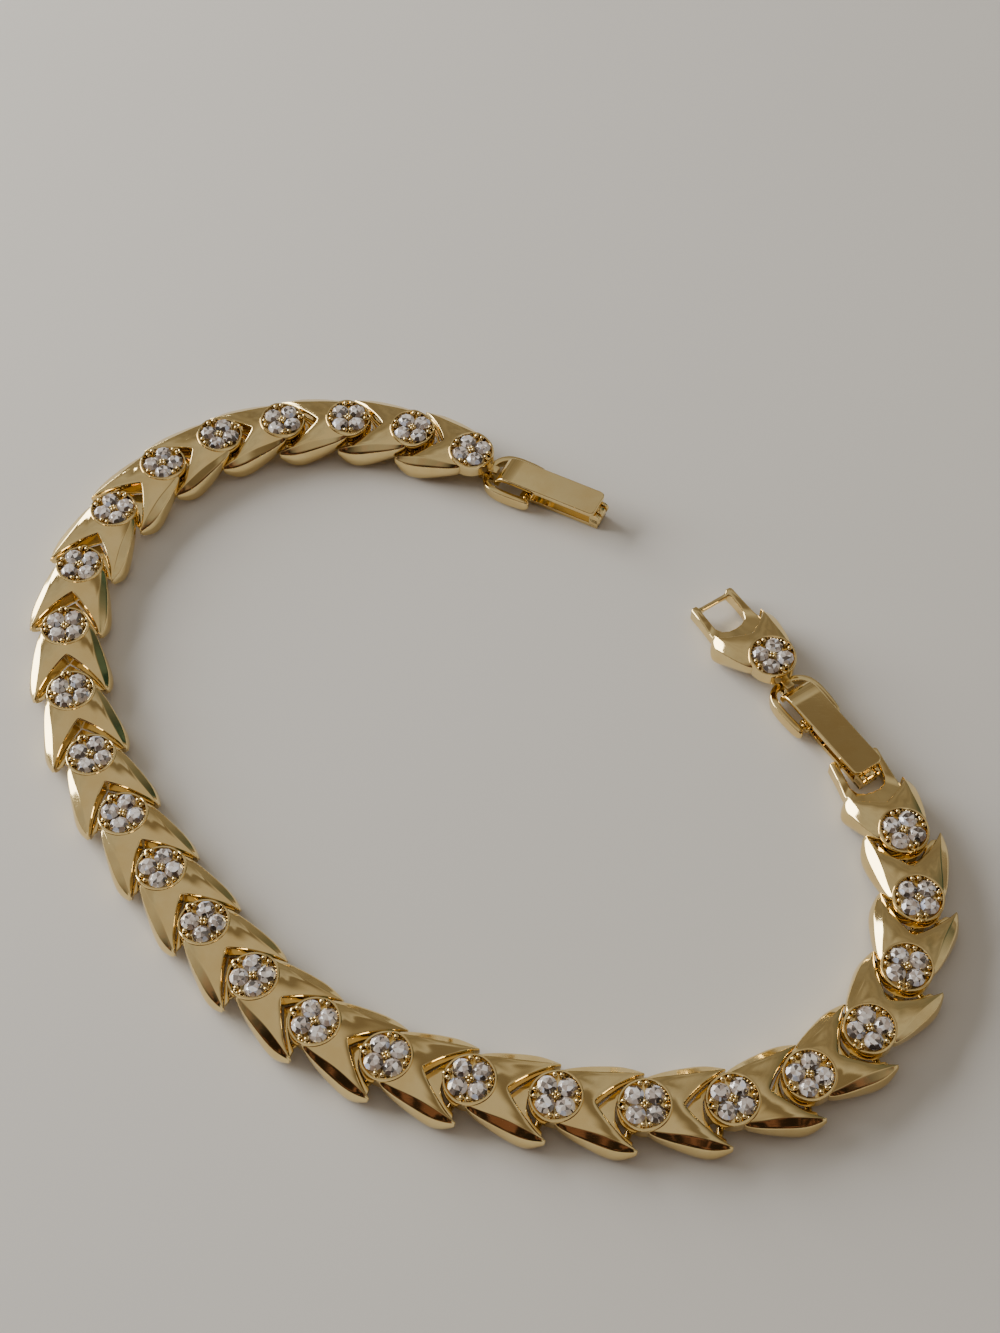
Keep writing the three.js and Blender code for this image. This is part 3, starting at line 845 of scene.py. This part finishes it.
def base_parts(bm):
    """The strip under the lever, its barrel on the shackle's pin, its two ears and the lever's pin."""
    part = bmesh.new()
    block(part, (BASE_PIN[0], -STRIP_HALF_WIDTH, STRIP_BOTTOM), (STRIP_END, STRIP_HALF_WIDTH, STRIP_TOP))
    soften(part, 0.08)
    absorb(bm, part)
    part = bmesh.new()
    cross_rod(part, *BASE_PIN, BARREL_RADIUS, BARREL_HALF_WIDTH, segments=32)
    soften(part, 0.08, 2, 60)
    absorb(bm, part)
    for side in (-1, 1):
        part = bmesh.new()
        cross_rod(part, *LEVER_PIN, EAR_RADIUS, EAR_HALF_WIDTH, side * EAR_Y, segments=32)
        block(part, (LEVER_PIN[0] - EAR_RADIUS, side * EAR_Y - EAR_HALF_WIDTH, STRIP_BOTTOM),
              (STRIP_END, side * EAR_Y + EAR_HALF_WIDTH, LEVER_PIN[1]))
        soften(part, 0.05, 2, 60)
        absorb(bm, part)
    cross_rod(bm, *LEVER_PIN, LEVER_PIN_RADIUS, LEVER_PIN_HALF_WIDTH)


def lever_parts(bm):
    """The cover: a bent strip of plate with rounded tail corners, its knuckle and its spring tongue."""
    path = [(3.2, 1.15, 90), (3.22, 1.45, 86), (3.34, 1.8, 62), (3.68, 2.1, 34), (4.2, 2.22, 12),
            (4.9, COVER_Z, 0), (8.0, COVER_Z, 0), (LEVER_PIN[0], COVER_Z, 0)]
    sections = []
    for x, z, lean in path:
        angle = math.radians(lean)
        up = Vector((-math.sin(angle), 0, math.cos(angle))) * COVER_THICKNESS / 2
        centre = Vector((x, 0, z))
        wide = Vector((0, COVER_HALF_WIDTH, 0))
        sections.append([centre - wide - up, centre - wide + up, centre + wide + up, centre + wide - up])
    part = bmesh.new()
    loft(part, sections)
    tidy(part)
    tail = LEVER_PIN[0] - COVER_THICKNESS / 2
    corners = [e for e in part.edges if all(v.co.x > tail for v in e.verts)
               and abs(e.verts[0].co.z - e.verts[1].co.z) > COVER_THICKNESS / 2]
    bevel(part, corners, COVER_CORNER, 5)
    soften(part, 0.1, 3, 40)
    absorb(bm, part)
    part = bmesh.new()
    cross_rod(part, *LEVER_PIN, KNUCKLE_RADIUS, KNUCKLE_HALF_WIDTH, segments=32)
    block(part, (KNUCKLE_REAR, -KNUCKLE_HALF_WIDTH, LEVER_PIN[1]),
          (LEVER_PIN[0], KNUCKLE_HALF_WIDTH, KNUCKLE_TOP))
    soften(part, 0.05, 2, 60)
    absorb(bm, part)
    sections = []
    for x, z in ((8.05, 2.1), (7.9, 1.7), (7.73, 1.32)):
        rear = x - TONGUE_HALF_THICKNESS
        front = x + TONGUE_HALF_THICKNESS
        sections.append([(rear, -TONGUE_HALF_WIDTH, z), (front, -TONGUE_HALF_WIDTH, z),
                         (front, TONGUE_HALF_WIDTH, z), (rear, TONGUE_HALF_WIDTH, z)])
    part = bmesh.new()
    loft(part, sections)
    tidy(part)
    soften(part, 0.05, 2, 50)
    absorb(bm, part)


# Settings

class BraceletSizes(bpy.types.PropertyGroup):
    head_radius: bpy.props.FloatProperty(
        name="Head radius", description="Outer radius of a link's round head", default=2.05 * MM,
        unit="LENGTH", precision=5)
    head_top: bpy.props.FloatProperty(
        name="Head height", description="Top of the bright rim over the table", default=3.14 * MM,
        unit="LENGTH", precision=5)
    rim_width: bpy.props.FloatProperty(
        name="Rim width", description="Width of the rim round the stones", default=0.22 * MM,
        unit="LENGTH", precision=5)
    stone_radius: bpy.props.FloatProperty(
        name="Stone radius", description="Radius of a stone at its girdle", default=0.73 * MM,
        unit="LENGTH", precision=5)
    table_radius: bpy.props.FloatProperty(
        name="Table radius", description="Radius of the flat on top of a stone", default=0.42 * MM,
        unit="LENGTH", precision=5)
    bead_radius: bpy.props.FloatProperty(
        name="Bead radius", description="Radius of a bead prong", default=0.2 * MM,
        unit="LENGTH", precision=5)


class BraceletFinishes(bpy.types.PropertyGroup):
    gold: bpy.props.FloatVectorProperty(
        name="Gold", description="Colour of the polished gold", subtype="COLOR",
        default=(0.87, 0.69, 0.34))
    gold_shade: bpy.props.FloatVectorProperty(
        name="Gold, deeper", description="Second tone that clouds the gold", subtype="COLOR",
        default=(0.82, 0.62, 0.28))
    gold_roughness: bpy.props.FloatProperty(
        name="Gold roughness", description="How much the polish blurs reflections", default=0.07,
        min=0.0, max=1.0, subtype="FACTOR")
    # Stone colours: the greyer one for most facets and, darkened, for painted dark reflections; the bright
    # one for painted highlights; the glint for painted sky reflections
    stone: bpy.props.FloatVectorProperty(
        name="Stone", description="Colour of a bright facet", subtype="COLOR",
        default=(1.0, 0.94, 0.88))
    stone_shade: bpy.props.FloatVectorProperty(
        name="Stone, greyer", description="Colour of most facets", subtype="COLOR",
        default=(0.56, 0.45, 0.38))
    stone_glint: bpy.props.FloatVectorProperty(
        name="Stone, glint", description="Colour of the few facets that catch the sky", subtype="COLOR",
        default=(0.72, 0.8, 1.0))
    floor: bpy.props.FloatVectorProperty(
        name="Floor", description="Colour of the studio floor", subtype="COLOR",
        default=(0.8, 0.78, 0.74))


class BraceletStudio(bpy.types.PropertyGroup):
    look: bpy.props.FloatVectorProperty(
        name="Look at", description="Point on the table in the middle of the picture",
        default=(2.303 * MM, 7.523 * MM, 0.0), subtype="TRANSLATION", precision=5)
    distance: bpy.props.FloatProperty(
        name="Distance", description="From the camera to that point", default=0.17041, unit="LENGTH",
        precision=5)
    elevation: bpy.props.FloatProperty(
        name="Elevation", description="Camera angle above the table", default=math.radians(56.09),
        unit="ROTATION")
    yaw: bpy.props.FloatProperty(
        name="Turn", description="Turn of the bracelet in front of the camera", default=math.radians(0.347),
        unit="ROTATION")


# Operators

class BRACELET_OT_links(bpy.types.Operator):
    """Makes the gold of every link along the bracelet"""
    bl_idname = "bracelet.links"
    bl_label = "Links"

    def execute(self, context):
        plays = [play for joints, _, play in STRETCHES for _ in range(joints)] + [0, 0]
        shapes = {}
        for index, (place, play) in enumerate(zip(chain_places(), plays)):
            kind = {0: "first", LINK_COUNT - 1: "loop", LINK_COUNT: "extender"}.get(index, "plain")
            if (kind, play) not in shapes:
                shapes[kind, play] = link_mesh(kind, play)
            name = link_name(index)
            mesh = shapes[kind, play].copy()
            add_piece(f"{name}_gold", mesh, place, "polished_gold", "bracelet", [name])
        for mesh in shapes.values():
            bpy.data.meshes.remove(mesh)
        return {"FINISHED"}


class BRACELET_OT_stones(bpy.types.Operator):
    """Sets four cut stones in the head of every link"""
    bl_idname = "bracelet.stones"
    bl_label = "Stones"

    def execute(self, context):
        stones = stone_mesh()
        for index, place in enumerate(chain_places()):
            name = link_name(index)
            piece = add_piece(f"{name}_stones", stones.copy(), place, "cut_stone", "bracelet", [])
            piece.data.shade_flat()
            # Paint each facet's reflection level on this link's stones, seeded by the link
            paint_facet_glints(piece.data, index)
        bpy.data.meshes.remove(stones)
        return {"FINISHED"}


class BRACELET_OT_clasps(bpy.types.Operator):
    """Makes the shackle, base and lever of the two clasps"""
    bl_idname = "bracelet.clasps"
    bl_label = "Clasps"

    def execute(self, context):
        places = chain_places()
        parts = (("shackle", shackle_bars), ("base", base_parts), ("lever", lever_parts))
        bodies = {
            "clasp_1_shackle": "bracelet", "clasp_1_base": "clasp_1_base", "clasp_1_lever": "clasp_1_lever",
            "clasp_2_shackle": "bracelet", "clasp_2_base": "bracelet", "clasp_2_lever": "clasp_2_lever",
        }
        for number, place in ((1, places[0]), (2, places[-1])):
            for word, make in parts:
                node = f"clasp_{number}_{word}"
                bm = bmesh.new()
                make(bm)
                mesh = mesh_from(bm, f"{node}_gold")
                add_piece(f"{node}_gold", mesh, place, "polished_gold", bodies[node], [node])
        return {"FINISHED"}


class BRACELET_OT_studio(bpy.types.Operator):
    """Lays the pale floor and sets the light and the camera"""
    bl_idname = "bracelet.studio"
    bl_label = "Studio"

    def execute(self, context):
        floor = bmesh.new()
        bmesh.ops.create_grid(floor, x_segments=8, y_segments=8, size=4.0)
        mesh = mesh_from(floor, "floor")
        mesh.materials.append(finish("pale_floor"))
        table = bpy.data.objects.new("floor", mesh)
        context.scene.collection.objects.link(table)
        self.surroundings(context)
        self.window(context)
        self.camera(context)
        return {"FINISHED"}

    def surroundings(self, context):
        """A soft room of warm pale walls, dark on the near side and teal low on the far right."""
        world = bpy.data.worlds.new("room")
        world.use_nodes = True
        context.scene.world = world
        sheet = Sheet(world.node_tree)
        direction = sheet.node("ShaderNodeTexCoord")
        parts = sheet.node("ShaderNodeSeparateXYZ", {}, {"Vector": direction})
        x, y, z = (Value(sheet, socket) for socket in parts.socket.node.outputs)
        near = sheet.span(0 - y, 0.1, 0.5)
        low = sheet.span(z, 0.4, 0.75, 1.0, 0.0)
        front = sheet.span(z, 0.72, 0.9, 1.0, 0.0)
        above = sheet.span(z, 0.07, 0.13)
        far = sheet.span(y, 0.15, 0.45)
        right = sheet.span(x, 0.35, 0.7)
        streaks = sheet.noise(9.0, 3.0, 0.6, direction)
        wall = sheet.blend(sheet.span(streaks, 0.35, 0.65), (0.52, 0.49, 0.44, 1), (0.44, 0.41, 0.37, 1))
        tan = sheet.blend(sheet.span(streaks, 0.35, 0.65), (0.3, 0.265, 0.21, 1), (0.22, 0.19, 0.15, 1))
        dark = sheet.blend(sheet.span(streaks, 0.5, 0.58), (0.02, 0.014, 0.01, 1), (0.19, 0.09, 0.06, 1))
        teal = sheet.blend(sheet.span(streaks, 0.45, 0.6), (0.02, 0.05, 0.045, 1), (0.08, 0.13, 0.11, 1))
        ceiling = sheet.span(z, 0.87, 0.96)
        beam = sheet.span(x, 0.04, 0.14) * sheet.span(z, 0.79, 0.825)
        colour = sheet.blend(far * sheet.span(z, 0.64, 0.78, 1.0, 0.0), wall, tan)
        colour = sheet.blend(beam, colour, (0.2, 0.165, 0.12, 1))
        colour = sheet.blend(ceiling, colour, (0.54, 0.49, 0.42, 1))
        colour = sheet.blend(near * front * above, colour, dark)
        colour = sheet.blend(right * far * low * above, colour, teal)
        background = sheet.node("ShaderNodeBackground", {}, {"Color": colour, "Strength": 1.0})
        sheet.node("ShaderNodeOutputWorld", {}, {"Surface": background})

    def window(self, context):
        """One broad lamp beyond the left end of the bracelet, aimed at its middle."""
        lamp = bpy.data.lights.new("window", "AREA")
        lamp.shape = "RECTANGLE"
        lamp.size = 0.5
        lamp.size_y = 0.4
        lamp.energy = 7.0
        lamp.color = (1.0, 0.99, 0.96)
        holder = bpy.data.objects.new("window", lamp)
        holder.location = WINDOW_PLACE
        holder.rotation_euler = (-Vector(WINDOW_PLACE)).to_track_quat("-Z", "Y").to_euler()
        context.scene.collection.objects.link(holder)

    def camera(self, context):
        """The camera at the photograph's viewing angle."""
        studio = context.scene.bracelet_studio
        lens = bpy.data.cameras.new("camera")
        lens.sensor_fit = "VERTICAL"
        lens.sensor_height = FILM_HEIGHT
        lens.lens = FOCAL_LENGTH
        lens.clip_start = 0.01
        lens.clip_end = 10
        forward = Vector((0, math.cos(studio.elevation), -math.sin(studio.elevation)))
        turn = Matrix.Rotation(-studio.yaw, 3, "Z")
        holder = bpy.data.objects.new("camera", lens)
        holder.location = turn @ (Vector(studio.look) - forward * studio.distance)
        holder.rotation_euler = (turn @ forward).to_track_quat("-Z", "Y").to_euler()
        context.scene.collection.objects.link(holder)
        context.scene.camera = holder


class BRACELET_PT_panel(bpy.types.Panel):
    """The bracelet's pieces and settings"""
    bl_idname = "BRACELET_PT_panel"
    bl_label = "Bracelet"
    bl_space_type = "VIEW_3D"
    bl_region_type = "UI"
    bl_category = "Bracelet"

    def draw(self, context):
        for operator in OPERATORS:
            self.layout.operator(operator.bl_idname)
        for group in (context.scene.bracelet_sizes, context.scene.bracelet_finishes,
                      context.scene.bracelet_studio):
            for name in group.__annotations__:
                self.layout.prop(group, name)


OPERATORS = (BRACELET_OT_links, BRACELET_OT_stones, BRACELET_OT_clasps, BRACELET_OT_studio)
CLASSES = (BraceletSizes, BraceletFinishes, BraceletStudio, *OPERATORS, BRACELET_PT_panel)


def register():
    for made in CLASSES:
        bpy.utils.register_class(made)
    bpy.types.Scene.bracelet_sizes = bpy.props.PointerProperty(type=BraceletSizes)
    bpy.types.Scene.bracelet_finishes = bpy.props.PointerProperty(type=BraceletFinishes)
    bpy.types.Scene.bracelet_studio = bpy.props.PointerProperty(type=BraceletStudio)


def unregister():
    del bpy.types.Scene.bracelet_studio
    del bpy.types.Scene.bracelet_finishes
    del bpy.types.Scene.bracelet_sizes
    for made in reversed(CLASSES):
        bpy.utils.unregister_class(made)


def main():
    register()
    bpy.ops.bracelet.links()
    bpy.ops.bracelet.stones()
    bpy.ops.bracelet.clasps()
    bpy.ops.bracelet.studio()
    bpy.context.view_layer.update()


if __name__ == "__main__":
    main()
